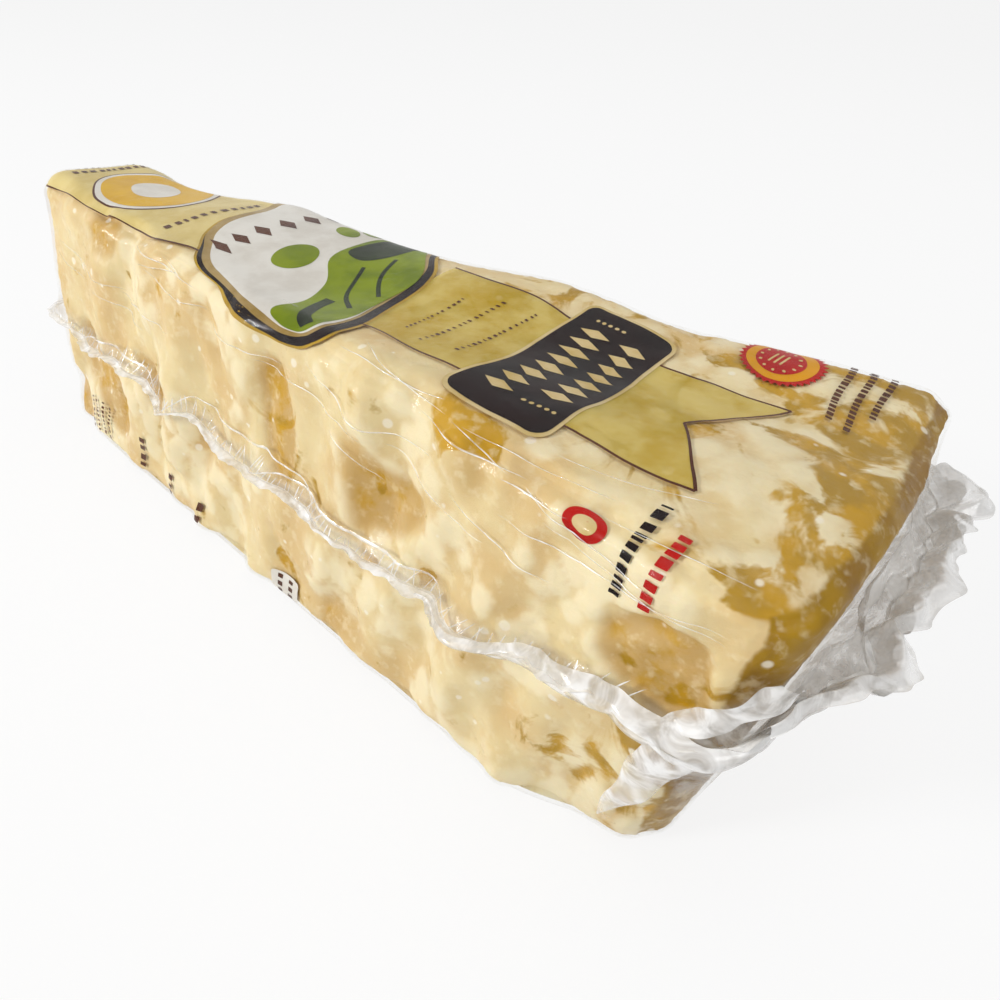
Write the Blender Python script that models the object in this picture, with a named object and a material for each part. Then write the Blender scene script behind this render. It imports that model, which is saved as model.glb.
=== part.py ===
"""Vacuum-packed wedge of hard cheese, lying on its flat side.

One closed solid out to the outside of the clear bag: the wedge with its broken,
fluted long side, the narrow welded seam that runs round it at half height, and the
bag's free end that stands out past the rind.

Frame: metres, +X from the narrow tip to the rind, +Z up, origin at the bottom centre
of the bounding box.
"""
import math

import bmesh
import bpy

# wedge
LENGTH = 0.2015            # tip to the outside of the rind
HEIGHT = 0.0645            # flat underside to the labelled top
TIP_WIDTH = 0.0265         # across the blunt tip, at the top
RIND_WIDTH = 0.0675        # across the rind end, at the top
FRONT_TURN = 0.006         # how far the broken side drifts outwards from tip to rind
LEAN_TIP = 0.0137          # broken side: foot stands out past the top edge, at the tip
LEAN_RIND = 0.0082         # the same at the rind
BACK_LEAN = 0.0015         # cut side: foot stands out past the top edge
RIND_RADIUS = 0.210        # the wheel's own radius
RIND_UNDERCUT = 0.0048     # the barrel-shaped rind falls back by this much at the foot
FOOT_CUT = 0.0085          # broken side: the foot's corner at the rind is rounded off
TIP_CUT = 0.0030           # the same at the tip
EDGE_PLAN = 0.0060         # rounding of the edges, seen from above
EDGE_RISE = 0.0040         # rounding of the edges, measured upwards

# the bag's welded seam
SEAM_HALF = 0.0004         # half the thickness of the two welded films
SEAM_LONG = 0.0018         # how far the seam stands out along the two long sides
SEAM_TIP = 0.0030          # round the tip
SEAM_RIND = 0.0088         # the free end past the rind
SEAM_RISE_RIND = 0.0102    # the seam climbs towards the rind by this much
SEAM_RISE_BACK = 0.0050    # and further across the rind to the cut side
TENT_LONG = 0.0016         # height over which film leaves the cheese, on a long side
TENT_RIND = 0.0150         # the same past the rind

# relief
FLUTE_DEPTH = 0.0012       # upright flutes of the broken side
TOP_WAVE = 0.0007          # slow unevenness of the top
SIDE_WAVE = 0.0011         # slow unevenness of the cut side

CHEESE_CREAM = (0.80, 0.66, 0.40, 1.0)


def blend(a, b, t):
    """Straight mix of a and b."""
    return a + (b - a) * t


def ease(t):
    """Smooth step from 0 to 1."""
    t = min(1.0, max(0.0, t))
    return t * t * (3.0 - 2.0 * t)


def wave(distance, length, phase):
    """One sine of the given wavelength."""
    return math.sin(2.0 * math.pi * distance / length + phase)


def cut_fractions():
    """Cuts along, across and up the unit block, closer together at its edges."""
    near_edge = (0.0008, 0.0022, 0.0041)
    steps = 35
    even = [EDGE_PLAN + (LENGTH - 2.0 * EDGE_PLAN) * k / steps for k in range(steps + 1)]
    along = sorted([d / LENGTH for d in near_edge] + [d / LENGTH for d in even]
                   + [1.0 - d / LENGTH for d in near_edge])
    half_across = (0.012, 0.035, 0.070, 0.125, 0.22, 0.35)
    across = sorted(half_across + (0.5,) + tuple(1.0 - f for f in half_across))
    from_seam = (SEAM_HALF, 0.0013, 0.0030, 0.0058, 0.0098, 0.0148, 0.0212,
                 HEIGHT / 2 - EDGE_RISE, HEIGHT / 2 - 0.0022, HEIGHT / 2 - 0.0008)
    up = sorted([0.5 + d / HEIGHT for d in from_seam] + [0.5 - d / HEIGHT for d in from_seam])
    return along, across, up


def side_lines(u, w):
    """Where the broken side and the cut side lie across the wedge, at u along and w up."""
    lean = blend(LEAN_TIP, LEAN_RIND, u) * (1.0 - w)
    cut = FOOT_CUT * ease((u - 0.86) / 0.14) + TIP_CUT * ease(1.0 - u / 0.10)
    front = FRONT_TURN * (1.0 - u) - lean + cut * (1.0 - w) ** 2.5
    back = FRONT_TURN + blend(TIP_WIDTH, RIND_WIDTH - FRONT_TURN, u) + BACK_LEAN * (1.0 - w)
    return front, back


def rind_inset(y, w):
    """How far the round rind falls back from its furthest point, at y across and w up."""
    middle = RIND_WIDTH / 2
    return (y - middle) ** 2 / (2.0 * RIND_RADIUS) + RIND_UNDERCUT * (1.0 - w) ** 2


def round_edge(distance_low, distance_high, radius):
    """-1..1: how far a point is into the rounding at either end of one direction."""
    low = max(0.0, radius - distance_low)
    high = max(0.0, radius - distance_high)
    return (high - low) / radius


def rind_share(outward, plan):
    """0 along the long sides, 1 where the surface faces out of the rind end."""
    return ease(1.25 * outward[0] / plan) if plan > 0.0 else 0.0


def seam_reach(x, y, u, share):
    """How far the welded seam stands out at a place round the wedge."""
    tip_share = 1.0 - ease(u / 0.05)
    corner_share = ease((u - 0.90) / 0.08)
    ripple = 0.16 * wave(x + 1.7 * y, 0.017, 0.4) + 0.12 * wave(x - 2.3 * y, 0.0083, 1.9)
    reach = blend(SEAM_LONG, SEAM_TIP, max(tip_share, corner_share))
    return blend(reach, SEAM_RIND, share) * (1.0 + ripple)


def relief(x, y, z, outward):
    """Height of the uneven surface over the smooth wedge."""
    front = max(0.0, -outward[1])
    back = max(0.0, outward[1])
    top = max(0.0, outward[2])
    uneven = 0.65 + 0.35 * wave(x + 0.6 * z, 0.087, 2.2)
    flutes = uneven * (wave(x + 0.10 * z, 0.0310, 0.6) + 0.8 * wave(x - 0.28 * z, 0.0187, 2.1)
                       + 0.35 * wave(x + 0.55 * z, 0.0109, 4.0))
    slow_top = wave(x, 0.062, 1.2) + wave(y - 0.3 * x, 0.041, 0.3)
    slow_back = wave(x, 0.071, 2.6) + 0.6 * wave(x + 0.5 * z, 0.039, 0.8)
    return (FLUTE_DEPTH * flutes * front + TOP_WAVE * slow_top * top
            + SIDE_WAVE * slow_back * back)


def wedge_point(u, v, w):
    """Place of the unit block's surface point (u, v, w) on the finished pack."""
    front, back = side_lines(u, w)
    width = back - front
    y = front + v * width
    x = u * (LENGTH - rind_inset(y, w))
    z = w * HEIGHT

    # rounded edges: the distance into each edge's rounding gives the outward direction
    edge_y = min(EDGE_PLAN, 0.45 * width)
    out = [round_edge(x, (1.0 - u) * LENGTH, EDGE_PLAN),
           round_edge(v * width, (1.0 - v) * width, edge_y),
           round_edge(z, HEIGHT - z, EDGE_RISE)]
    size = math.sqrt(sum(c * c for c in out))
    outward = [c / size for c in out]
    x += EDGE_PLAN * (outward[0] - out[0])
    y += edge_y * (outward[1] - out[1])
    z += EDGE_RISE * (outward[2] - out[2])

    height = relief(x, y, z, outward) if w > 0.0 else 0.0
    x += height * outward[0]
    y += height * outward[1]
    z += height * outward[2] * ease(w * 4.0)

    # the welded seam climbs towards the rind and pulls the film outwards
    from_seam = abs(w - 0.5) * HEIGHT
    plan = math.hypot(outward[0], outward[1])
    share = rind_share(outward, plan)
    tent = blend(TENT_LONG, TENT_RIND, share)
    pull = max(0.0, 1.0 - max(0.0, from_seam - SEAM_HALF) / tent) ** 1.6
    if plan > 0.0:
        reach = seam_reach(x, y, u, share) * pull
        x += reach * outward[0] / plan
        y += reach * outward[1] / plan
    rise = SEAM_RISE_RIND * ease((u - 0.70) / 0.28) + 0.0008 * wave(x + y, 0.034, 1.0)
    rise += SEAM_RISE_BACK * v * ease((u - 0.85) / 0.15)
    z += rise * (1.0 - abs(2.0 * w - 1.0)) ** 1.2
    return x, y, z


def make_pack():
    """A unit block, cut into a grid and bent into the packed wedge."""
    bm = bmesh.new()
    bmesh.ops.create_cube(bm, size=1.0)
    bmesh.ops.translate(bm, verts=bm.verts, vec=(0.5, 0.5, 0.5))
    for axis, fractions in enumerate(cut_fractions()):
        normal = [0.0, 0.0, 0.0]
        normal[axis] = 1.0
        for fraction in fractions:
            place = [c * fraction for c in normal]
            everything = bm.verts[:] + bm.edges[:] + bm.faces[:]
            bmesh.ops.bisect_plane(bm, geom=everything, dist=1e-6, plane_co=place, plane_no=normal)
    for vert in bm.verts:
        vert.co = wedge_point(*vert.co)

    low = [min(v.co[k] for v in bm.verts) for k in range(3)]
    high = [max(v.co[k] for v in bm.verts) for k in range(3)]
    centre = (-(low[0] + high[0]) / 2, -(low[1] + high[1]) / 2, -low[2])
    bmesh.ops.translate(bm, verts=bm.verts, vec=centre)

    mesh = bpy.data.meshes.new("packed_wedge")
    bm.to_mesh(mesh)
    bm.free()
    mesh.shade_smooth()
    return mesh


def make_material():
    """Pale cream cheese under glossy film."""
    material = bpy.data.materials.new("cheese_in_film")
    material.use_nodes = True
    shader = material.node_tree.nodes["Principled BSDF"]
    shader.inputs["Base Color"].default_value = CHEESE_CREAM
    shader.inputs["Roughness"].default_value = 0.3
    shader.inputs["Metallic"].default_value = 0.0
    return material


def main():
    for old in list(bpy.data.objects):
        bpy.data.objects.remove(old, do_unlink=True)
    parts = bpy.data.collections.new("cheese_pack")
    bpy.context.scene.collection.children.link(parts)
    pack = bpy.data.objects.new("packed_wedge", make_pack())
    pack.data.materials.append(make_material())
    parts.objects.link(pack)


main()
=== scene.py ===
import math
import random

import bmesh
import bpy
from mathutils import Matrix, Quaternion, Vector, noise


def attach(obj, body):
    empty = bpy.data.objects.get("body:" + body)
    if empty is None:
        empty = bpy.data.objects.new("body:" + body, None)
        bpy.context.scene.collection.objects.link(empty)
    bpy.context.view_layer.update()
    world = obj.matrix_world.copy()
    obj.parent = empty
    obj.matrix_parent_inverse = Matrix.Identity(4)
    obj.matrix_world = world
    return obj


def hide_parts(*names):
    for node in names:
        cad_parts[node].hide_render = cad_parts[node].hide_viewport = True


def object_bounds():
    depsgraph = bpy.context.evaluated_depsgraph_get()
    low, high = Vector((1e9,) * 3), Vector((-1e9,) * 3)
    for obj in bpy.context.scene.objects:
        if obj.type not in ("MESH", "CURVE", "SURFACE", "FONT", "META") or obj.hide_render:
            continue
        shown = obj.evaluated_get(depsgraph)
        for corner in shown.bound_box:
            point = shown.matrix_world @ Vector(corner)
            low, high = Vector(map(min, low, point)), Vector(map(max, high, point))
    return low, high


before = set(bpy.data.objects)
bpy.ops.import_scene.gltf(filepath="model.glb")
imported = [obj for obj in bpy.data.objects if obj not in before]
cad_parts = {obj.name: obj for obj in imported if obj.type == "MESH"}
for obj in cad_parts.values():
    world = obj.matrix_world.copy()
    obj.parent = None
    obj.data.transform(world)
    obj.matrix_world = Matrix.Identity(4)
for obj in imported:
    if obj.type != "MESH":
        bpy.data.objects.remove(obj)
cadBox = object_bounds()

# a vacuum-packed wedge of hard cheese: cheese, clear film, weld, folds and print

# the wedge under the film, in metres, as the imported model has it
wedge = {
    "length": 0.2015,
    "height": 0.0645,
    "tipWidth": 0.0265,
    "rindWidth": 0.0675,
    "frontTurn": 0.0060,
    "leanTip": 0.0137,
    "leanRind": 0.0082,
    "backLean": 0.0015,
    "rindRadius": 0.210,
    "rindUndercut": 0.0048,
    "footCut": 0.0085,
    "tipCut": 0.0030,
    "edgePlan": 0.0060,
    "edgeRise": 0.0040,
    "seamRiseRind": 0.0102,
    "seamRiseBack": 0.0050,
}
# the wedge's own corner: its tip and the top edge of its broken side
corner = Vector((cadBox[0].x + 0.00377, cadBox[0].y + 0.00978, 0.0))


def mix(a, b, t):
    return a + (b - a) * t


def ease(t):
    t = min(1.0, max(0.0, t))
    return t * t * (3.0 - 2.0 * t)


def ripple(distance, length, phase):
    return math.sin(2.0 * math.pi * distance / length + phase)


# shape of the wedge and its film

def sideLines(u, w):  # where the broken side and the cut side lie, across the wedge
    lean = mix(wedge["leanTip"], wedge["leanRind"], u) * (1.0 - w)
    cut = wedge["footCut"] * ease((u - 0.86) / 0.14) + wedge["tipCut"] * ease(1.0 - u / 0.10)
    front = wedge["frontTurn"] * (1.0 - u) - lean + cut * (1.0 - w) ** 2.5
    back = (wedge["frontTurn"] + mix(wedge["tipWidth"], wedge["rindWidth"] - wedge["frontTurn"], u)
            + wedge["backLean"] * (1.0 - w))
    return front, back


def roundShare(low, high, radius):  # -1 to 1: how far into the rounding at either end
    return (max(0.0, radius - high) - max(0.0, radius - low)) / radius


def smoothPoint(u, v, w):
    front, back = sideLines(u, w)
    width = back - front
    y = front + v * width
    inset = (y - wedge["rindWidth"] / 2) ** 2 / (2.0 * wedge["rindRadius"])
    x = u * (wedge["length"] - inset - wedge["rindUndercut"] * (1.0 - w) ** 2)
    z = w * wedge["height"]
    reach = (wedge["edgePlan"], min(wedge["edgePlan"], 0.45 * width), wedge["edgeRise"])
    share = Vector((
        roundShare(x, (1.0 - u) * wedge["length"], reach[0]),
        roundShare(v * width, (1.0 - v) * width, reach[1]),
        roundShare(z, wedge["height"] - z, reach[2]),
    ))
    outward = share.normalized()
    point = Vector((x, y, z))
    for k in range(3):
        point[k] += reach[k] * (outward[k] - share[k])
    return point, outward


relief = {
    "flute": 0.0012,  # upright flutes of the broken side
    "topWave": 0.0007,
    "sideWave": 0.0011,
    "plate": 0.0015,  # broken plates standing before or behind each other
    "pebble": 0.0008,  # clustered curd grains
    "pit": 0.0019,  # hollows where a grain broke out
    "topLump": 0.0005,
    "grain": 0.00022,
}


def slowRelief(p, outward):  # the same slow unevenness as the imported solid
    x, y, z = p
    front = max(0.0, -outward.y)
    back = max(0.0, outward.y)
    top = max(0.0, outward.z)
    uneven = 0.65 + 0.35 * ripple(x + 0.6 * z, 0.087, 2.2)
    flutes = uneven * (ripple(x + 0.10 * z, 0.0310, 0.6) + 0.8 * ripple(x - 0.28 * z, 0.0187, 2.1)
                       + 0.35 * ripple(x + 0.55 * z, 0.0109, 4.0))
    slowTop = ripple(x, 0.062, 1.2) + ripple(y - 0.3 * x, 0.041, 0.3)
    slowBack = ripple(x, 0.071, 2.6) + 0.6 * ripple(x + 0.5 * z, 0.039, 0.8)
    return (relief["flute"] * flutes * front + relief["topWave"] * slowTop * top
            + relief["sideWave"] * slowBack * back)


def cloudy(a, b, c, size):
    return noise.noise(Vector((a / size, b / size, c / size)))


def pebbles(a, b, size):  # domes of uneven size side by side
    a += 0.35 * size * cloudy(a, b, 0.011, 1.7 * size)
    b += 0.35 * size * cloudy(a, b, 0.047, 1.7 * size)
    near = noise.voronoi(Vector((a / size, b / size, 4.1)))[0][0]
    return max(0.0, 1.0 - (near / 0.75) ** 2)


def fracture(x, z):  # broken side: plate height, grain height, hollow, all from 0 to 1
    warpX = x + 0.006 * cloudy(x, 0.034, z, 0.020)
    warpZ = z + 0.009 * cloudy(x, 0.160, z, 0.020)
    reach, spots = noise.voronoi(Vector((warpX / 0.024, 0.6, warpZ / 0.041)))
    level = 0.5 + 0.5 * math.sin(57.0 * spots[0].x + 31.0 * spots[0].z)
    plate = level * ease((reach[1] - reach[0]) / 0.30)
    patch = ease(0.5 + 2.4 * cloudy(x, 0.077, 0.8 * z, 0.024))
    grain = patch * pebbles(x + 0.2 * z, 0.75 * z, 0.0048)
    hollow = ease((cloudy(x, 0.021, 0.62 * z, 0.0150) - 0.20) / 0.28)
    return plate, grain, hollow


def crags(p, outward, softness):  # softness 0 is the cheese itself, 1 is the film drawn over it
    x, y, z = p
    front = ease(-outward.y * 1.3)
    back = ease(outward.y * 1.3)
    top = ease(outward.z * 1.3)
    ends = ease(abs(outward.x) * 1.3)
    keep = mix(1.0, 0.55, softness)
    height = 0.0
    if front > 0.0:
        plate, grain, hollow = fracture(x, z)
        height += front * (relief["plate"] * (plate - 0.45) + keep * relief["pebble"] * (grain - 0.3)
                           - keep * relief["pit"] * hollow)
    if top > 0.0:
        nearRind = ease((x - 0.115) / 0.06)
        lump = pebbles(x, y, 0.0062)
        height += top * relief["topLump"] * (cloudy(x, y, 0.05, 0.019)
                                             + keep * mix(0.15, 0.8, nearRind) * (lump - 0.4))
    if back > 0.0:
        height += back * 0.0007 * (cloudy(x, 0.3, z, 0.018) + 0.5 * keep * pebbles(x, z, 0.0055))
    if ends > 0.0:
        height += ends * 0.0005 * cloudy(0.2, y, z, 0.012)
    return height


def surfaceAt(u, v, w, softness, taut=0.0):
    point, outward = smoothPoint(u, v, w)
    rise = ease(w * 4.0)
    if w > 0.0:
        rough = crags(point, outward, softness) * (1.0 if outward.z > 0.3 else rise)
        height = slowRelief(point, outward) + mix(rough, 0.0006, taut)
        point = point + Vector((outward.x, outward.y, outward.z * rise)) * height
    return point, outward


def seamLift(u, v, w, x, y):  # the weld climbs towards the rind
    rise = wedge["seamRiseRind"] * ease((u - 0.70) / 0.28) + 0.0008 * ripple(x + y, 0.034, 1.0)
    rise += wedge["seamRiseBack"] * v * ease((u - 0.85) / 0.15)
    return rise * (1.0 - abs(2.0 * w - 1.0)) ** 1.2


film = {
    "gap": 0.00045,  # air between cheese and film
    "weldLong": 0.0013,  # how far the shell is drawn out to the weld, long sides
    "weldRind": 0.0052,
    "tentLong": 0.0040,
    "taut": 0.0065,  # beside the weld the film bridges the hollows
    "tentRind": 0.0185,
    "fold": 0.0022,
}


def rindShare(outward):
    plan = math.hypot(outward.x, outward.y)
    return ease(1.25 * outward.x / plan) if plan > 1e-6 else 0.0


def endShare(v):  # the free end lies close to the rind beside the broken side
    return mix(0.10, 1.0, ease((v - 0.04) / 0.34))


def filmAt(u, v, w):
    fromWeld = abs(w - 0.5) * wedge["height"]
    point, outward = surfaceAt(u, v, w, 1.0, 0.85 * ease(1.0 - fromWeld / film["taut"]))
    x, y, z = point
    share = rindShare(outward)
    tent = mix(film["tentLong"], film["tentRind"], share)
    pull = max(0.0, 1.0 - fromWeld / tent)
    plan = Vector((outward.x, outward.y, 0.0))
    point = point + outward * film["gap"]
    if w <= 0.0:
        point.z = 0.00002
    if plan.length > 0.0:
        plan.normalize()
        pleat = 1.0 + 0.5 * cloudy(x, y, 0.009, 0.0045)
        reach = mix(film["weldLong"], film["weldRind"] * endShare(v), share) * pleat
        point += plan * reach * pull ** 1.5
        fold = abs(cloudy(x + z, y, z, 0.013)) + 0.35 * abs(cloudy(x, y + z, z, 0.0052)) - 0.25
        point += plan * film["fold"] * fold * share * ease(pull * 3.0) * endShare(v)
    point.z += seamLift(u, v, w, x, y)
    return point + corner, outward, pull


def cheeseAt(u, v, w):
    point, outward = surfaceAt(u, v, w, 0.0)
    x, y, z = point
    grain = relief["grain"] * noise.fractal(point / 0.0024, 0.8, 2.0, 3)
    point = point + outward * (grain - 0.0002 if w > 0.0 else 0.0)
    point.z = max(point.z, 0.0005)
    point.z += seamLift(u, v, w, x, y)
    return point + corner, outward


# mesh helpers

def link(mesh, name):
    piece = bpy.data.objects.new(name, mesh)
    bpy.context.scene.collection.objects.link(piece)
    return piece


def finishMesh(bm, name, material):
    mesh = bpy.data.meshes.new(name)
    bm.to_mesh(mesh)
    bm.free()
    mesh.shade_smooth()
    piece = link(mesh, name)
    piece.data.materials.append(material)
    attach(piece, "root")
    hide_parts("packed_wedge")
    return piece


def unitBlock(along, across, up):  # six joined grids round the unit block, closer at the edges
    bm = bmesh.new()
    turnUp = Matrix.Rotation(math.radians(90), 4, "X")
    turnSide = Matrix.Rotation(math.radians(90), 4, "Y")
    half = Matrix.Translation((0.5, 0.5, 0.5))
    faces = [
        (along, across, Matrix.Translation((0, 0, 0.5))),
        (along, across, Matrix.Translation((0, 0, -0.5)) @ Matrix.Rotation(math.pi, 4, "X")),
        (along, up, Matrix.Translation((0, -0.5, 0)) @ turnUp),
        (along, up, Matrix.Translation((0, 0.5, 0)) @ Matrix.Rotation(math.pi, 4, "Z") @ turnUp),
        (up, across, Matrix.Translation((0.5, 0, 0)) @ turnSide),
        (up, across, Matrix.Translation((-0.5, 0, 0)) @ Matrix.Rotation(math.pi, 4, "Z") @ turnSide),
    ]
    for first, second, place in faces:
        bmesh.ops.create_grid(bm, x_segments=first, y_segments=second, size=0.5, matrix=half @ place)
    bmesh.ops.remove_doubles(bm, verts=bm.verts, dist=1e-5)
    for vert in bm.verts:
        for k, beats in enumerate((1.0, 1.0, 2.0)):
            t = min(1.0, max(0.0, vert.co[k]))
            crowd = 0.62 if k < 2 else 0.5
            vert.co[k] = t - crowd * math.sin(2.0 * math.pi * beats * t) / (2.0 * math.pi * beats)
            if abs(vert.co[k]) < 1e-6 or abs(vert.co[k] - 1.0) < 1e-6:
                vert.co[k] = round(vert.co[k])
    return bm


# materials

def linear(r, g, b):  # a colour as a paint chip reads it, 0 to 255
    steps = [((c / 255 + 0.055) / 1.055) ** 2.4 if c > 10 else c / 255 / 12.92 for c in (r, g, b)]
    return (*steps, 1.0)


class Paint:  # a node tree that is easy to write
    def __init__(self, name):
        self.material = bpy.data.materials.new(name)
        self.material.use_nodes = True
        self.nodes = self.material.node_tree.nodes
        self.links = self.material.node_tree.links
        self.shader = self.nodes["Principled BSDF"]
        self.output = self.nodes["Material Output"]
        self.place = self.nodes.new("ShaderNodeTexCoord").outputs["Object"]

    def add(self, kind, inputs=None, **settings):
        node = self.nodes.new(kind)
        for key, value in settings.items():
            setattr(node, key, value)
        for key, value in (inputs or {}).items():
            self.put(node.inputs[key], value)
        return node

    def put(self, socket, value):
        if isinstance(value, bpy.types.NodeSocket):
            self.links.new(value, socket)
        else:
            socket.default_value = value

    def cloud(self, scale, detail=3.0, rough=0.55, place=None, distort=0.0):
        node = self.add("ShaderNodeTexNoise", {"Vector": place or self.place, "Scale": scale,
                                               "Detail": detail, "Roughness": rough,
                                               "Distortion": distort})
        return node.outputs["Fac"]

    def ramp(self, value, low, high, curve="SMOOTHSTEP"):
        node = self.add("ShaderNodeMapRange", {"Value": value, "From Min": low, "From Max": high},
                        interpolation_type=curve)
        return node.outputs["Result"]

    def math(self, operation, a, b=0.0):
        node = self.add("ShaderNodeMath", {0: a, 1: b}, operation=operation)
        return node.outputs[0]

    def blend(self, share, a, b):
        node = self.add("ShaderNodeMix", {"Factor": share}, data_type="RGBA")
        self.put(node.inputs[6], a)  # the colour sockets of the node
        self.put(node.inputs[7], b)
        return node.outputs[2]

    def attribute(self, name):
        return self.add("ShaderNodeAttribute", attribute_name=name).outputs["Fac"]

    def bump(self, height, strength, distance, before=None):
        inputs = {"Height": height, "Strength": strength, "Distance": distance}
        if before is not None:
            inputs["Normal"] = before
        return self.add("ShaderNodeBump", inputs).outputs["Normal"]

    def set(self, **values):
        for key, value in values.items():
            self.put(self.shader.inputs[key.replace("_", " ")], value)


cheeseLook = {
    "curd": linear(246, 232, 194),  # pale clustered grains
    "cream": linear(234, 214, 164),
    "fawn": linear(222, 192, 136),
    "tan": linear(200, 160, 88),
    "mustard": linear(200, 152, 0),
    "moss": linear(172, 132, 0),
    "rind": linear(146, 106, 20),
    "crystal": linear(252, 244, 226),
}


def cheeseMaterial():
    paint = Paint("agedCheese")
    broad = paint.cloud(62.0, 3.0, 0.5)
    patch = paint.cloud(190.0, 4.0, 0.6)
    colour = paint.blend(paint.ramp(broad, 0.36, 0.66), cheeseLook["cream"], cheeseLook["fawn"])
    curd = paint.math("ADD", paint.attribute("grain"),
                      paint.math("MULTIPLY", paint.math("SUBTRACT", patch, 0.5), 0.9))
    share = paint.math("MULTIPLY", paint.ramp(curd, 0.22, 0.75), 0.85)
    colour = paint.blend(share, colour, cheeseLook["curd"])
    hollow = paint.attribute("hollow")
    share = paint.math("MULTIPLY", paint.ramp(hollow, 0.15, 0.95), 0.8)
    colour = paint.blend(share, colour, cheeseLook["tan"])
    heart = paint.math("MULTIPLY", paint.ramp(hollow, 0.75, 1.0), paint.ramp(patch, 0.45, 0.65))
    colour = paint.blend(paint.math("MULTIPLY", heart, 0.7), colour, cheeseLook["mustard"])

    # oily mustard stains near the rind, in the valleys between pale grains
    stain = paint.math("ADD", paint.cloud(88.0, 4.0, 0.55, None, 0.9),
                       paint.math("MULTIPLY", paint.attribute("oily"), 0.30))
    stain = paint.math("SUBTRACT", stain, paint.math("MULTIPLY", paint.attribute("grain"), 0.16))
    share = paint.ramp(stain, 0.625, 0.72)
    tone = paint.blend(paint.ramp(paint.cloud(150.0), 0.38, 0.62), cheeseLook["mustard"],
                       cheeseLook["moss"])
    colour = paint.blend(paint.math("MULTIPLY", share, 0.93), colour, tone)

    # the rind itself
    edge = paint.math("ADD", paint.attribute("rind"),
                      paint.math("MULTIPLY", paint.math("SUBTRACT", patch, 0.5), 0.6))
    rindTone = paint.blend(paint.ramp(paint.cloud(120.0, 4.0), 0.35, 0.7), cheeseLook["rind"],
                           cheeseLook["moss"])
    colour = paint.blend(paint.ramp(edge, 0.42, 0.66), colour, rindTone)

    # white crystals
    spots = paint.add("ShaderNodeTexVoronoi", {"Vector": paint.place, "Scale": 170.0})
    size = paint.math("MULTIPLY", spots.outputs["Color"], 0.17)
    dots = paint.ramp(paint.math("SUBTRACT", size, spots.outputs["Distance"]), -0.04, 0.03)
    colour = paint.blend(paint.math("MULTIPLY", dots, 0.75), colour, cheeseLook["crystal"])

    crumb = paint.ramp(paint.cloud(430.0, 3.0, 0.55), 0.5, 0.72)
    colour = paint.blend(paint.math("MULTIPLY", crumb, 0.40), colour, cheeseLook["curd"])
    fine = paint.bump(paint.cloud(1300.0, 3.0), 0.06, 0.0004)
    coarse = paint.bump(paint.cloud(380.0, 4.0), 0.26, 0.0008, fine)
    paint.set(Base_Color=colour, Roughness=paint.ramp(patch, 0.1, 0.9, "LINEAR"), Normal=coarse,
              Subsurface_Weight=0.18, Subsurface_Scale=0.003)
    paint.shader.inputs["Subsurface Radius"].default_value = (1.0, 0.7, 0.35)
    paint.shader.inputs["Specular IOR Level"].default_value = 0.25
    return paint.material


filmLook = {
    "gloss": 0.08,
    "index": 1.40,
    "shine": 0.24,
    "mostShine": 0.20,
    "milk": linear(228, 225, 220),
}


def filmMaterial():
    paint = Paint("clearFilm")
    wrinkle = paint.cloud(420.0, 3.0, 0.6, None, 1.2)
    crinkle = paint.cloud(120.0, 2.0, 0.5, None, 2.5)
    normal = paint.bump(wrinkle, 0.22, 0.0006, paint.bump(crinkle, 0.22, 0.0012))
    clear = paint.add("ShaderNodeBsdfTransparent", {"Color": (0.99, 0.99, 0.985, 1.0)})
    gloss = paint.add("ShaderNodeBsdfPrincipled", {
        "Base Color": (1.0, 1.0, 1.0, 1.0), "Metallic": 1.0, "Roughness": filmLook["gloss"],
        "Normal": normal})
    facing = paint.add("ShaderNodeFresnel", {"IOR": filmLook["index"], "Normal": normal})
    share = paint.math("MINIMUM", paint.math("MULTIPLY", facing.outputs[0], filmLook["shine"]),
                       filmLook["mostShine"])
    shine = paint.add("ShaderNodeMixShader", {0: share, 1: clear.outputs[0], 2: gloss.outputs[0]})
    paint.set(Base_Color=filmLook["milk"], Roughness=0.25, Normal=normal)
    milk = paint.math("MULTIPLY", paint.attribute("milk"),
                      paint.ramp(paint.cloud(160.0, 3.0, 0.6, None, 1.5), 0.15, 0.7))
    both = paint.add("ShaderNodeMixShader", {0: milk, 1: shine.outputs[0],
                                             2: paint.shader.outputs[0]})
    paint.links.new(both.outputs[0], paint.output.inputs["Surface"])
    return paint.material


# the same milky film also draws the hairline creases, where its white is a painted highlight for the
# film's glints
def weldMaterial(name, cover, spread):  # milky welded or folded film
    paint = Paint(name)
    crease = paint.cloud(170.0, 3.0, 0.5, None, 1.6)
    fine = paint.cloud(700.0, 2.0)
    normal = paint.bump(fine, 0.12, 0.0005, paint.bump(crease, 0.25, 0.0010))
    clear = paint.add("ShaderNodeBsdfTransparent", {"Color": (1.0, 1.0, 1.0, 1.0)})
    paint.set(Base_Color=paint.blend(paint.ramp(crease, 0.3, 0.7), filmLook["milk"],
                                     linear(246, 245, 243)),
              Roughness=0.22, Normal=normal)
    paint.shader.inputs["Coat Weight"].default_value = 0.6
    share = paint.ramp(crease, 0.5 - spread, 0.5 + spread)
    share = paint.math("ADD", paint.math("MULTIPLY", share, 1.0 - cover), cover)
    both = paint.add("ShaderNodeMixShader", {0: share, 1: clear.outputs[0],
                                             2: paint.shader.outputs[0]})
    paint.links.new(both.outputs[0], paint.output.inputs["Surface"])
    return paint.material


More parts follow.
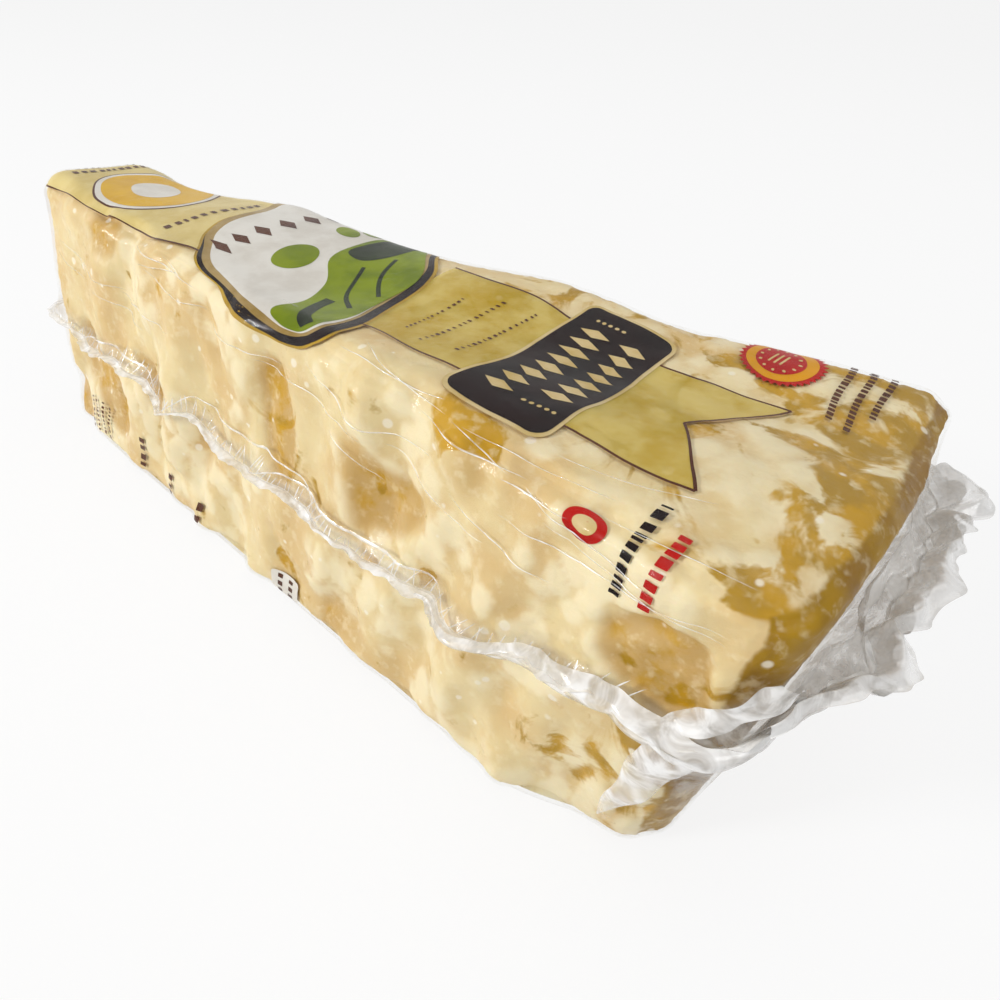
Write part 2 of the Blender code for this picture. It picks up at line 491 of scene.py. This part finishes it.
def inkMaterial(name, colour, second, cover=1.0):  # print on the inside of the film
    paint = Paint(name)
    cloudy = paint.ramp(paint.cloud(130.0, 4.0, 0.6), 0.35, 0.7)
    paint.set(Base_Color=paint.blend(cloudy, colour, second), Roughness=0.38,
              Normal=paint.bump(paint.cloud(700.0), 0.08, 0.0004))
    paint.shader.inputs["Specular IOR Level"].default_value = 0.12
    if cover < 1.0:
        clear = paint.add("ShaderNodeBsdfTransparent", {"Color": (1.0, 1.0, 1.0, 1.0)})
        share = paint.add("ShaderNodeMixShader", {0: cover, 1: clear.outputs[0],
                                                  2: paint.shader.outputs[0]})
        paint.links.new(share.outputs[0], paint.output.inputs["Surface"])
    return paint.material


# cheese and film shell

def makeCheese():
    bm = unitBlock(*(((240, 64, 78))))
    layers = {name: bm.verts.layers.float.new(name) for name in ("grain", "hollow", "oily", "rind")}
    for vert in bm.verts:
        u, v, w = vert.co
        smooth, outward = smoothPoint(u, v, w)
        x, y, z = smooth
        front = ease(-outward.y * 1.3)
        top = ease(outward.z * 1.5)
        fromRind = (1.0 - u) * wedge["length"]
        plate, grain, hollow = fracture(x, z) if front > 0.0 else (0.0, 0.0, 0.0)
        nearRind = ease((x - 0.105) / 0.07)
        lump = max(pebbles(x, y, 0.0062), 0.8 * pebbles(y, x, 0.0110)) * (1.0 - front)
        vert[layers["grain"]] = grain * front + lump * top * mix(0.25, 0.85, nearRind)
        dip = ease((cloudy(x, y, 0.4, 0.022) - 0.05) / 0.3)
        vert[layers["hollow"]] = hollow * front + 0.25 * top * dip
        acrossTop = mix(0.72, 1.0, ease((v - 0.12) / 0.3))
        alongTop = ease((x - 0.085) / 0.060) * mix(0.62, 1.0, ease((x - 0.165) / 0.03))
        alongSide = mix(0.15, 0.75, ease((x - 0.160) / 0.035)) * ease(1.2 - w)
        vert[layers["oily"]] = max(top * acrossTop * alongTop, front * alongSide)
        endFace = ease((outward.x - 0.45) / 0.4)
        rim = 0.75 * ease(1.0 - (fromRind - 0.0005) / 0.0060)
        vert[layers["rind"]] = max(endFace, rim) * ease(u * 4.0 - 3.0)
        vert.co, outward = cheeseAt(u, v, w)
    return finishMesh(bm, "cheese", cheeseMaterial())


def makeFilm():
    bm = unitBlock(*(((250, 62, 84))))
    milk = bm.verts.layers.float.new("milk")
    for vert in bm.verts:
        u, v, w = vert.co
        vert.co, outward, pull = filmAt(u, v, w)
        share = rindShare(outward)
        below = 1.0 if w > 0.5 else 0.75
        vert[milk] = mix(0.30 * ease(pull * 1.2), 0.80 * ease(pull * 1.9) * below, share)
    return finishMesh(bm, "film", filmMaterial())


# print: flat on the film, then laid over the pack

def onFilm(x, y, under):  # millimetres: x along the pack, y across it, unrolled past the edges
    x += printLook["wave"] * cloudy(x, y, 3.1, 13.0)
    y += printLook["wave"] * cloudy(x, y, 7.7, 13.0)
    along = x / 1000 - corner.x
    u = min(1.0, max(0.0, along / wedge["length"]))
    across = y / 1000 - corner.y
    front, back = sideLines(u, 1.0)
    w = 1.0
    if across < front:
        v = 0.0
        w = 1.0 - (front - across) / wedge["height"]
    elif across > back:
        v = 1.0
        w = 1.0 - (across - back) / wedge["height"]
    else:
        v = (across - front) / (back - front)
    if along < 0.0:
        w = 1.0 + along / wedge["height"]
    point, outward, pull = filmAt(u, v, min(1.0, max(0.02, w)))
    return point - outward * (under / 1000)


def curveLoop(points, steps=6):  # closed smooth outline through the points
    loop = []
    count = len(points)
    for k in range(count):
        a, b, c, d = (Vector(points[(k + n) % count]) for n in (-1, 0, 1, 2))
        for s in range(steps):
            t = s / steps
            loop.append(0.5 * (2 * b + (c - a) * t + (2 * a - 5 * b + 4 * c - d) * t * t
                               + (3 * b - a - 3 * c + d) * t ** 3))
    return loop


def oval(x, y, a, b, turn=0.0, count=64):
    cosine, sine = math.cos(turn), math.sin(turn)
    loop = []
    for k in range(count):
        angle = 2 * math.pi * k / count
        p, q = a * math.cos(angle), b * math.sin(angle)
        loop.append(Vector((x + p * cosine - q * sine, y + p * sine + q * cosine)))
    return loop


def panel(x0, x1, y0, y1, radius=0.0, count=5):  # rectangle with round corners
    if radius <= 0.0:
        return [Vector(p) for p in ((x0, y0), (x1, y0), (x1, y1), (x0, y1))]
    loop = []
    spots = ((x1 - radius, y1 - radius, 0), (x0 + radius, y1 - radius, 90),
             (x0 + radius, y0 + radius, 180), (x1 - radius, y0 + radius, 270))
    for cx, cy, start in spots:
        for k in range(count + 1):
            angle = math.radians(start + 90 * k / count)
            loop.append(Vector((cx + radius * math.cos(angle), cy + radius * math.sin(angle))))
    return loop


def lozenge(x, y, a, b):
    return [Vector(p) for p in ((x - a, y), (x, y - b), (x + a, y), (x, y + b))]


def stroke(points, width):  # a line of even width as an outline
    path = [Vector(p) for p in points]
    left, right = [], []
    for k, point in enumerate(path):
        run = path[min(k + 1, len(path) - 1)] - path[max(k - 1, 0)]
        side = Vector((-run.y, run.x)).normalized() * (width / 2)
        left.append(point + side)
        right.append(point - side)
    return left + right[::-1]


def curvePath(points, steps=6):  # open smooth line through the points
    path = [Vector(p) for p in points]
    path = [2 * path[0] - path[1]] + path + [2 * path[-1] - path[-2]]
    line = []
    for k in range(1, len(path) - 2):
        a, b, c, d = path[k - 1:k + 3]
        for s in range(steps):
            t = s / steps
            line.append(0.5 * (2 * b + (c - a) * t + (2 * a - 5 * b + 4 * c - d) * t * t
                               + (3 * b - a - 3 * c + d) * t ** 3))
    return line + [path[-2]]


def printPiece(name, loops, under, material, cell=0.8):
    bm = bmesh.new()
    for loop in loops:
        bm.faces.new([bm.verts.new((p.x, p.y, 0.0)) for p in loop])
    for axis in range(2):
        low = min(v.co[axis] for v in bm.verts)
        high = max(v.co[axis] for v in bm.verts)
        normal = Vector((1, 0, 0)) if axis == 0 else Vector((0, 1, 0))
        for k in range(1, int((high - low) / cell) + 1):
            bmesh.ops.bisect_plane(bm, geom=bm.verts[:] + bm.edges[:] + bm.faces[:], dist=1e-4,
                                   plane_co=normal * (low + k * cell), plane_no=normal)
    bmesh.ops.triangulate(bm, faces=bm.faces)
    bmesh.ops.recalc_face_normals(bm, faces=bm.faces)
    if sum(f.normal.z for f in bm.faces) < 0:
        bmesh.ops.reverse_faces(bm, faces=bm.faces)
    for vert in bm.verts:
        vert.co = onFilm(vert.co.x, vert.co.y, under)
    return finishMesh(bm, name, material)


printLook = {"wave": 1.5}
ribbon = {"low": -19.6, "high": 9.3, "start": 5.0, "tips": 76.0, "notch": 66.1}
band = {"start": -112.0, "end": -28.0}
label = {"x0": 35.2, "x1": 54.0, "y0": -24.2, "y1": 15.9, "rim": 0.7}
badge = [(-37.5, -22.5), (-25.5, -28.0), (-12.0, -32.0), (-2.0, -33.6), (6.0, -32.6), (10.0, -28.5),
         (10.6, -21.0), (5.5, 0.5), (0.0, 9.0), (-12.0, 20.0), (-30.0, 24.0), (-44.0, 17.5),
         (-49.0, 7.5), (-47.3, -2.5), (-44.0, -13.0)]
sun = {"x": -76.5, "y": -9.5}
seal = {"x": 70.9, "y": 23.1, "radius": 7.7}
ring = {"x": 69.0, "y": -34.5}


def grown(points, amount):  # the same outline, larger or smaller about its middle
    middle = sum((Vector(p) for p in points), Vector((0, 0))) / len(points)
    return [Vector(p) + (Vector(p) - middle).normalized() * amount for p in points]


def makePrint():
    yellow = inkMaterial("inkYellow", linear(232, 210, 112), linear(208, 176, 24), 0.62)
    beige = inkMaterial("inkBeige", linear(232, 212, 146), linear(218, 194, 120), 0.93)
    white = inkMaterial("inkWhite", linear(232, 228, 220), linear(218, 212, 202))
    gold = inkMaterial("inkGold", linear(176, 150, 100), linear(150, 122, 60))
    lime = inkMaterial("inkLime", linear(134, 150, 0), linear(106, 124, 0))
    dark = inkMaterial("inkDark", linear(26, 6, 5), linear(12, 3, 3))
    brown = inkMaterial("inkBrown", linear(92, 52, 30), linear(72, 36, 22))
    cream = inkMaterial("inkCream", linear(222, 200, 150), linear(204, 176, 108))
    mustard = inkMaterial("inkMustard", linear(226, 180, 0), linear(214, 164, 0))
    red = inkMaterial("inkRed", linear(190, 24, 14), linear(168, 12, 8))
    amber = inkMaterial("inkAmber", linear(228, 160, 20), linear(208, 148, 0))
    green = inkMaterial("inkForest", linear(38, 50, 18), linear(20, 26, 12))
    amberLine = inkMaterial("inkAmberLine", linear(190, 154, 50), linear(160, 126, 40))

    # band over the tip, with its thin outline
    bandLoop = [(band["start"], -26.5), (-90, -27.0), (-76, -26.4), (-60, -25.2), (-45, -24.2),
                (-34, -22.6), (band["end"], -22.0), (band["end"], 6.0), (-60, 5.5), (-90, 4.5),
                (band["start"], 4.0)]
    printPiece("printBand", [[Vector(p) for p in bandLoop]], 0.26, beige)
    printPiece("printBandEdge", [stroke(bandLoop[:7], 0.55)], 0.21, brown)

    # ribbon with a swallow tail
    r = ribbon
    tail = [(r["start"], r["low"]), (r["tips"], r["low"]), (r["notch"], -6.0),
            (r["tips"], r["high"]), (r["start"], r["high"])]
    printPiece("printRibbon", [[Vector(p) for p in tail]], 0.26, yellow)
    edges = [stroke(tail[k:k + 2], 0.45) for k in range(4)]
    printPiece("printRibbonEdge", edges, 0.22, brown)

    # oval seal on the band
    printPiece("printSunLine", [oval(sun["x"], sun["y"], 15.6, 13.8)], 0.22, brown)
    printPiece("printSunRim", [oval(sun["x"], sun["y"], 15.1, 13.3)], 0.18, white)
    printPiece("printSun", [oval(sun["x"], sun["y"], 13.8, 12.0)], 0.14, mustard)
    printPiece("printSunWheel", [oval(sun["x"], sun["y"], 6.6, 5.6)], 0.10, white)

    # round badge with plain hills
    def shifted(loop, dx, dy):
        return [p + Vector((dx, dy)) for p in loop]
    printPiece("printBadgeGlow", [curveLoop(grown(badge, 0.5))], 0.23, amberLine)
    printPiece("printBadgeShade", [curveLoop(grown(badge, -0.2))], 0.20, dark)
    printPiece("printBadgeRim", [shifted(curveLoop(grown(badge, -1.0)), -1.5, 1.1)], 0.17, gold)
    printPiece("printBadge", [shifted(curveLoop(grown(badge, -2.6)), -0.8, 1.2)], 0.13, white)
    hill = [(2.0, -29.6), (-4.0, -29.4), (-7.0, -26.5), (-6.0, -20.0), (-9.5, -13.0), (-16.5, -6.0),
            (-18.0, 6.0), (-13.0, 16.0), (-4.5, 10.5), (3.0, 1.5), (5.6, -11.0), (7.0, -20.0),
            (6.0, -26.5)]
    printPiece("printHill", [curveLoop(hill)], 0.09, lime)
    farHill = [(-17.0, 0.0), (-11.0, -1.5), (-8.0, 4.0), (-9.0, 13.0), (-14.5, 13.5)]
    printPiece("printHillFar", [curveLoop(farHill)], 0.06, green)
    furrows = [[(4.6, -25.5), (1.4, -23.5), (-1.4, -19.0), (-2.4, -15.0)],
               [(3.5, -15.0), (-3.0, -10.5), (-8.0, -3.0)], [(3.2, -8.0), (-2.5, -3.0), (-6.0, 4.0)]]
    lines = [stroke(curvePath(f), wide) for f, wide in zip(furrows, (3.0, 1.0, 0.8))]
    printPiece("printFurrows", lines, 0.06, green)
    trees = [oval(-21.5, -10.0, 3.8, 5.6, 0.3), oval(-24.5, 6.0, 3.2, 2.8), oval(-20.5, 11.0, 2.6, 2.2)]
    printPiece("printTrees", trees, 0.09, lime)
    lozenges = [lozenge(-34.5, -18.0 + 5.4 * k, 3.4 if k else 4.8, 1.5) for k in range(7)]
    printPiece("printLozenges", lozenges, 0.08, brown)

    # dark label with two rows of lozenges
    x0, x1, y0, y1 = (label[side] for side in ("x0", "x1", "y0", "y1"))
    rim = label["rim"]
    printPiece("printLabelRim", [panel(x0 - rim, x1 + rim, y0 - rim, y1 + rim, 3.0)], 0.20, cream)
    printPiece("printLabel", [panel(x0, x1, y0, y1, 2.6)], 0.15, dark)
    blocks = []
    for x, first, count in ((41.2, -17.5, 8), (49.0, -13.5, 7)):
        blocks += [lozenge(x, first + 3.7 * k, 3.0, 1.35) for k in range(count)]
    for k in range(5):
        blocks.append(oval(39.4 + 1.3 * k, 12.4, 0.4, 0.4, 0, 10))
        blocks.append(oval(46.6 + 1.3 * k, -18.4, 0.4, 0.4, 0, 10))
    printPiece("printLabelBlocks", blocks, 0.10, cream)

    # round seal: a serrated red ring, an amber ring, a red field with light dots
    sealX, sealY = seal["x"], seal["y"]
    teeth = []
    for k in range(72):
        angle = 2 * math.pi * k / 72
        radius = seal["radius"] * (1.0 if k % 2 else 0.90)
        teeth.append(Vector((sealX + radius * math.cos(angle), sealY + radius * math.sin(angle))))
    printPiece("printSealTeeth", [teeth], 0.20, red)
    printPiece("printSealRing", [oval(sealX, sealY, 6.3, 6.3)], 0.16, amber)
    printPiece("printSealField", [oval(sealX, sealY, 4.5, 4.5)], 0.12, red)
    dots = []
    for k in range(12):
        angle = 2 * math.pi * k / 12
        x, y = sealX + 3.6 * math.cos(angle), sealY + 3.6 * math.sin(angle)
        dots.append(oval(x, y, 0.36, 0.28, angle, 10))
    for k in range(3):
        x = sealX + 1.1 * k
        dots.append(stroke([(x - 1.6, sealY - 1.6), (x - 0.9, sealY + 1.7)], 0.4))
    printPiece("printSealDots", dots, 0.09, cream)

    # rows of small dashes where the pack has small print
    def dashes(x, y0, y1, tall, seed, gap=0.7):
        rowDice = random.Random(seed)
        row, y = [], y0
        while y < y1:
            width = rowDice.uniform(0.8, 2.0) * tall / 2.0
            row.append(panel(x - tall / 2, x + tall / 2, y, min(y1, y + width), 0.12, 2))
            y += width + gap * rowDice.uniform(0.7, 1.4)
        return row

    small = dashes(81.5, 11.0, 32.0, 1.1, 1, 0.4) + dashes(84.6, 10.0, 33.0, 1.1, 2, 0.4)
    small += dashes(87.6, 16.0, 30.0, 1.1, 3, 0.4)
    printPiece("printSmall", small, 0.12, brown)
    printPiece("printLine", dashes(75.5, -44.0, -24.0, 1.7, 4, 0.8), 0.12, dark)
    printPiece("printLineRed", dashes(80.5, -43.0, -27.0, 1.9, 5, 0.6), 0.12, red)
    printPiece("printMarkRed", [oval(ring["x"], ring["y"], 2.9, 3.4)], 0.14, red)
    printPiece("printMarkRings", [oval(ring["x"], ring["y"], 1.6, 1.9)], 0.11, cream)
    printPiece("printRow", dashes(-51.5, -20.5, 3.0, 1.6, 6, 0.9), 0.12, brown)
    script = dashes(17.0, -14.0, 1.0, 0.7, 7, 0.8) + dashes(23.0, -16.0, 4.0, 0.7, 8, 0.8)
    script += dashes(29.0, -15.0, 5.0, 0.7, 9, 0.8)
    printPiece("printScript", script, 0.12, brown)
    foot = []
    for k in range(4):
        foot += dashes(-88.0 + 3.2 * k, -88.0, -78.0, 1.0, 20 + k, 0.6)
    foot += dashes(-60.0, -88.0, -80.0, 2.2, 31, 1.0) + dashes(-44.0, -88.0, -82.0, 2.0, 32, 1.0)
    foot += dashes(-30.0, -89.0, -84.0, 2.0, 33, 1.0)
    printPiece("printFoot", foot, 0.12, brown)
    printPiece("printBox", [panel(0.5, 9.5, -92.5, -86.5, 0.8)], 0.14, white)
    boxRows = dashes(3.2, -92.0, -87.0, 1.4, 34, 0.7) + dashes(6.6, -92.0, -87.0, 1.4, 35, 0.7)
    printPiece("printBoxRows", boxRows, 0.10, brown)
    tipRows = dashes(-96.0, -20.0, 0.0, 1.5, 10, 0.8) + dashes(-99.5, -20.0, -2.0, 1.2, 11, 0.8)
    printPiece("printTipRows", tipRows, 0.12, brown)


# welded seam, corner folds, free end and hairline creases; the creases are thin white strips, a painted
# highlight for the film's glints

girdle = wedge["length"] * 1000  # millimetres round the pack at which the rind end begins
rindEnd = wedge["rindWidth"] * 1000
packTall = wedge["height"] * 1000


# s runs in millimetres from the tip along the broken side, then across the rind
def girdleSpot(s, w, lift=0.0):
    if s <= girdle:
        point, outward, pull = filmAt(max(0.0, s / girdle), 0.0, w)
    else:
        point, outward, pull = filmAt(1.0, min(1.0, (s - girdle) / rindEnd), w)
    return point + outward * (lift / 1000), outward


# a grid whose points go where place(s, t) says, s and t from 0 to 1
def laidGrid(bm, along, across, place):
    made = bmesh.ops.create_grid(bm, x_segments=along, y_segments=across, size=0.5)
    for vert in made["verts"]:
        vert.co = place(vert.co.x + 0.5, vert.co.y + 0.5)


def between(stops, t):  # smooth value at t from a short list of (t, value) stops
    for k in range(len(stops) - 1):
        if t <= stops[k + 1][0]:
            share = ease((t - stops[k][0]) / (stops[k + 1][0] - stops[k][0]))
            return mix(stops[k][1], stops[k + 1][1], share)
    return stops[-1][1]


weldLook = {
    "widthLong": 0.0020,
    "widthRind": 0.0038,
    "sway": 0.0009,
}


def weldSpot(u, v, t):
    point, outward, pull = filmAt(u, v, 0.5)
    share = rindShare(outward)
    plan = Vector((outward.x, outward.y, 0.0)).normalized()
    x, y, z = point
    wide = mix(weldLook["widthLong"], weldLook["widthRind"] * mix(0.5, 1.0, endShare(v)), share)
    wide *= 1.0 + 0.55 * cloudy(x, y, 0.02, 0.008) + 0.45 * cloudy(x, y, 0.01, 0.0027)
    sway = weldLook["sway"] * (cloudy(x, y, 0.004 * t, 0.0045) + 0.5 * cloudy(x, y, 0.003 * t, 0.0016))
    sway *= mix(1.0, 2.6, share)
    climb = share * mix(0.0035, 0.0016, endShare(v)) * t
    return point + plan * (wide * t - 0.0005) + Vector((0, 0, (sway + climb) * ease(t * 1.6)))


def makeWeld(material):
    bm = bmesh.new()
    sides = [
        (420, lambda s, t: weldSpot(s, 0.0, t)),
        (170, lambda s, t: weldSpot(1.0, s, t)),
        (420, lambda s, t: weldSpot(1.0 - s, 1.0, t)),
        (60, lambda s, t: weldSpot(0.0, 1.0 - s, t)),
    ]
    for count, place in sides:
        laidGrid(bm, count, 6, place)
    bmesh.ops.remove_doubles(bm, verts=bm.verts, dist=1e-6)
    bmesh.ops.recalc_face_normals(bm, faces=bm.faces)
    return finishMesh(bm, "weldSeam", material)


def crumple(point, amount, size):
    return amount * (abs(cloudy(point.x, point.y, point.z, size)) * 2.0
                     + 0.2 * cloudy(point.y, point.z, point.x, size * 0.4))


def makeFolds(material):
    # the band of doubled film that widens towards the rind and goes on round its corner
    def bandPlace(s, t):
        run = mix(148.0, 226.0, s)
        half = between([(0.0, 0.4), (0.25, 1.9), (0.42, 3.4), (0.56, 3.2), (0.75, 2.7), (1.0, 2.0)], s)
        drop = between([(0.0, 0.0), (0.3, -0.8), (0.55, -0.6), (0.8, 0.0), (1.0, 1.0)], s)
        height = 0.5 + (drop + half * (2 * t - 1)) / packTall
        bulge = 0.9 * math.sin(math.pi * t) ** 0.5 * ease(s * 6)
        point, outward = girdleSpot(run, height, 0.30 + bulge)
        return point + outward * crumple(point, 0.0010, 0.0080)

    # the gusset's fold that runs down the front of the rind corner
    def downPlace(s, t):
        half = between([(0.0, 3.4), (0.3, 3.3), (0.7, 2.1), (1.0, 0.2)], s)
        run = between([(0.0, 196.5), (0.5, 194.5), (1.0, 192.0)], s) + half * (2 * t - 1)
        height = mix(0.50, 0.13, s)
        point, outward = girdleSpot(run, height, 0.45 + 0.9 * math.sin(math.pi * t) ** 0.5 * (1 - s))
        return point + outward * crumple(point, 0.0006, 0.0080)

    # the ear that stands up from the corner against the rind
    def earPlace(s, t):
        half = between([(0.0, 1.6), (0.5, 2.6), (1.0, 3.5)], s)
        run = mix(194.0, 205.0, s) + 0.62 * half * (2 * t - 1)
        height = mix(0.52, 0.80, s ** 0.9) - 0.78 * half * (2 * t - 1) / packTall
        point, outward = girdleSpot(run, height, 0.4 + 1.2 * s)
        return point + outward * crumple(point, 0.0009, 0.0070)

    bm = bmesh.new()
    laidGrid(bm, 130, 14, bandPlace)
    laidGrid(bm, 50, 14, downPlace)
    laidGrid(bm, 36, 14, earPlace)
    bmesh.ops.recalc_face_normals(bm, faces=bm.faces)
    return finishMesh(bm, "cornerFolds", material)


freeEnd = {
    "near": 0.0015,  # reach beside the broken side
    "far": 0.0048,
    "lift": 0.0015,
    "arch": 0.0030,
    "fold": 0.0016,
}


def makeFreeEnd(material):  # the two films past the rind, folded and torn-edged
    def place(s, t):
        base, outward, pull = filmAt(1.0, mix(0.03, 0.99, s), 0.5)
        x, y, z = base
        uneven = 1.0 + 0.7 * cloudy(x, y, 0.3, 0.012) + 0.4 * cloudy(x, y, 0.6, 0.0035)
        reach = mix(freeEnd["near"], freeEnd["far"], ease((s - 0.03) / 0.25)) * uneven
        arch = ease(1 - abs(t - 0.45) * 2) * (0.6 + cloudy(x, y, 0.9, 0.014))
        lift = freeEnd["lift"] + freeEnd["arch"] * arch
        spot = base + Vector((reach * t, 0.0, lift + freeEnd["lift"] * t))
        fold = Vector((0.6, 0.2, 1.0)) * crumple(spot, freeEnd["fold"], 0.0100) * ease(t * 3)
        return spot + fold

    bm = bmesh.new()
    laidGrid(bm, 180, 16, place)
    bmesh.ops.recalc_face_normals(bm, faces=bm.faces)
    return finishMesh(bm, "freeEnd", material)


creases = {"long": 18, "top": 8, "width": 0.10, "rise": 0.10, "ladderStep": 1.5}


# hairline creases as thin white strips over the film: the creases are real, their white is a painted
# highlight standing in for the film's glints
def makeCreaseGlints(material):
    dice = random.Random(11)
    bm = bmesh.new()

    def hairline(path, width, place):
        count = len(path) - 1

        def spot(s, t):
            k = min(count - 1, int(s * count))
            part = s * count - k
            a, b = Vector(path[k]), Vector(path[k + 1])
            side = Vector((-(b - a).y, (b - a).x)).normalized()
            thin = math.sin(math.pi * min(1.0, max(0.0, s))) ** 0.6
            flat = a.lerp(b, part) + side * (width * thin * (2 * t - 1))
            return place(flat.x, flat.y, creases["rise"] * thin * (1 - abs(2 * t - 1)) + 0.03)
        laidGrid(bm, count, 2, spot)

    def wander(x, y, angle, length, bend):
        path = [(x, y)]
        step = 1.1
        for k in range(max(3, int(length / step))):
            angle += dice.uniform(-bend, bend) + 0.4 * bend
            x += step * math.cos(angle)
            y += step * math.sin(angle)
            path.append((x, y))
        return path

    def onPack(x, y, lift):
        return onFilm(x, y, -lift)

    def onSide(s, rise, lift):
        return girdleSpot(s, 0.5 + rise / packTall, lift)[0]

    for k in range(creases["long"]):
        start = dice.uniform(-98, 70)
        path = wander(start, dice.uniform(-46, -29), math.radians(dice.uniform(-28, -8)),
                      dice.uniform(12, 38), 0.025)
        path = [p for p in path if p[1] > -60.0 and p[0] < 92.0]
        if len(path) > 4:
            hairline(path, creases["width"] * dice.uniform(0.7, 1.6), onPack)
    for k in range(creases["top"]):
        path = wander(dice.uniform(-60, 70), dice.uniform(-34, -22), math.radians(dice.uniform(-14, 10)),
                      dice.uniform(6, 26), 0.025)
        hairline([p for p in path if p[0] < 92.0], creases["width"], onPack)
    s = 6.0
    while s < 186.0:
        s += creases["ladderStep"] * dice.uniform(0.6, 1.7)
        tall = 1.2 + 3.4 * ease(0.5 + 1.8 * cloudy(s / 1000, 0.3, 0.1, 0.020))
        lean = dice.uniform(-0.6, 0.9)
        path = [(s + lean * tall * q / 5, 0.1 + tall * q / 5) for q in range(6)]
        hairline(path, 0.13 * dice.uniform(0.7, 1.5), onSide)
    # the fold line that runs with the weld a few millimetres above it, drawn white as a painted
    # highlight
    for first, last, rise in ((18.0, 60.0, 2.3), (64.0, 122.0, 4.6), (96.0, 160.0, 2.6)):
        count = int((last - first) / 1.2)
        path = []
        for q in range(count + 1):
            height = rise * ease(5 * q / count) * ease(5 - 5 * q / count)
            height += 0.7 * cloudy(q * 0.002, rise, 0.0, 0.02)
            path.append((mix(first, last, q / count), height))
        hairline(path, 0.22, onSide)
    bmesh.ops.recalc_face_normals(bm, faces=bm.faces)
    return finishMesh(bm, "filmCreaseGlints", material)


print("cheese")
makeCheese()
print("film")
makeFilm()
print("print")
makePrint()
print("weld and folds")
makeWeld(weldMaterial("weldedFilm", 0.72, 0.16))
foldedFilm = weldMaterial("foldedFilm", 0.38, 0.20)
makeFolds(foldedFilm)
makeFreeEnd(weldMaterial("looseFilm", 0.30, 0.22))
# white crease strips: painted glints of the film
makeCreaseGlints(weldMaterial("creaseGlintFilm", 0.22, 0.25))


# floor, lamps, camera

def makeStage():
    bm = bmesh.new()
    bmesh.ops.create_grid(bm, x_segments=1, y_segments=1, size=4.0)
    mesh = bpy.data.meshes.new("floor")
    bm.to_mesh(mesh)
    bm.free()
    floor = link(mesh, "floor")
    paint = Paint("paleFloor")
    rays = paint.add("ShaderNodeLightPath")
    seen = paint.math("MAXIMUM", rays.outputs["Is Glossy Ray"], rays.outputs["Is Transmission Ray"])
    seen = paint.math("MAXIMUM", rays.outputs["Is Camera Ray"], seen)
    plain = paint.add("ShaderNodeEmission", {"Color": (1, 1, 1, 1), "Strength": 1.0})
    paint.set(Base_Color=(0.86, 0.86, 0.86, 1.0), Roughness=0.9)
    share = paint.math("MULTIPLY", seen, 0.85)
    mixed = paint.add("ShaderNodeMixShader", {0: share, 1: paint.shader.outputs[0],
                                              2: plain.outputs[0]})
    paint.links.new(mixed.outputs[0], paint.output.inputs["Surface"])
    floor.data.materials.append(paint.material)


lamps = {
    "key": {"from": (-0.50, -0.80, 0.55), "size": 0.19, "watts": 6.7},
    "top": {"from": (0.10, 0.15, 1.0), "size": 0.8, "watts": 2.8},
    "rim": {"from": (0.85, -0.45, 0.40), "size": 0.30, "watts": 1.3},
}
room = {"light": 0.31}


def makeLamps():
    for name, lamp in lamps.items():
        data = bpy.data.lights.new(name, "AREA")
        data.energy = lamp["watts"]
        data.size = lamp["size"]
        holder = bpy.data.objects.new(name, data)
        holder.location = lamp["from"]
        holder.rotation_mode = "QUATERNION"
        holder.rotation_quaternion = (-Vector(lamp["from"])).to_track_quat("-Z", "Y")
        bpy.context.scene.collection.objects.link(holder)
    world = bpy.data.worlds.new("room")
    bpy.context.scene.world = world
    world.use_nodes = True
    nodes, links = world.node_tree.nodes, world.node_tree.links
    back = nodes["Background"]
    back.inputs["Color"].default_value = (1, 1, 1, 1)
    rays = nodes.new("ShaderNodeLightPath")
    seen = rays.outputs["Is Camera Ray"]
    for kind in ("Is Glossy Ray", "Is Transmission Ray"):
        most = nodes.new("ShaderNodeMath")
        most.operation = "MAXIMUM"
        links.new(seen, most.inputs[0])
        links.new(rays.outputs[kind], most.inputs[1])
        seen = most.outputs[0]
    level = nodes.new("ShaderNodeMapRange")
    level.inputs["To Min"].default_value = room["light"]
    level.inputs["To Max"].default_value = 1.0
    links.new(seen, level.inputs["Value"])
    links.new(level.outputs["Result"], back.inputs["Strength"])


camera = {
    "place": (0.0956, -0.0872, 0.1195),
    "towards": (-0.4575, 0.5943, -0.6615),
    "roll": 4.32,
    "lens": 23.78,
}


def makeCamera():
    data = bpy.data.cameras.new("camera")
    data.lens = camera["lens"]
    data.sensor_width = 36.0
    data.clip_start = 0.005
    holder = bpy.data.objects.new("camera", data)
    holder.location = camera["place"]
    holder.rotation_mode = "QUATERNION"
    aim = Vector(camera["towards"]).to_track_quat("-Z", "Y")
    holder.rotation_quaternion = aim @ Quaternion((0, 0, 1), math.radians(camera["roll"]))
    bpy.context.scene.collection.objects.link(holder)
    bpy.context.scene.camera = holder


print("stage")
makeStage()
makeLamps()
makeCamera()
bpy.context.scene.view_settings.view_transform = "Standard"
